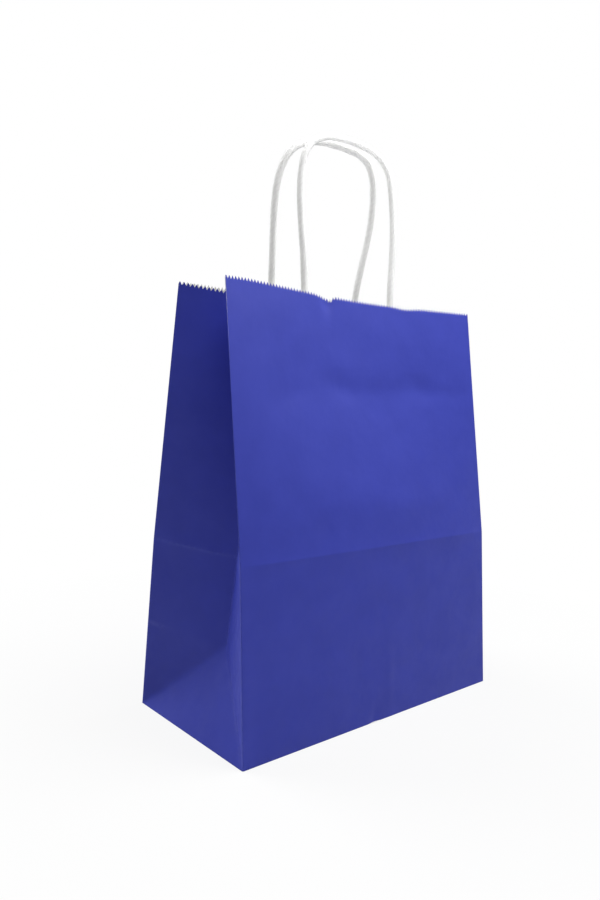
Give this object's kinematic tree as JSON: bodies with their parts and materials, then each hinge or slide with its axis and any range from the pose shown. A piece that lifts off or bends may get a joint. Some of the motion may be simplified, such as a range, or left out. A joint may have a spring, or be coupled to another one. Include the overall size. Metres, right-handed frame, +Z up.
{
  "type": "paper gift bag",
  "caption": "Upright paper gift bag with folded side gussets, a creased flat bottom, a pinked open mouth and twisted paper rope handles.",
  "frame": {"origin": "on the surface the bag stands on, under the middle of its bottom", "axes": "+Z up through the mouth, -Y out of the front panel, X across the bag from gusset to gusset"},
  "size_m": [0.22, 0.11, 0.374],
  "materials": {
    "blue_paper": "coloured face, white core",
    "white_rope": "twisted, matte",
    "white_paper": "matte"
  },
  "bodies": {
    "root": {"bag_body": "blue_paper", "handle_front": "white_rope", "handle_back": "white_rope", "patch_front": "white_paper", "patch_back": "white_paper"}
  },
  "joints": []
}
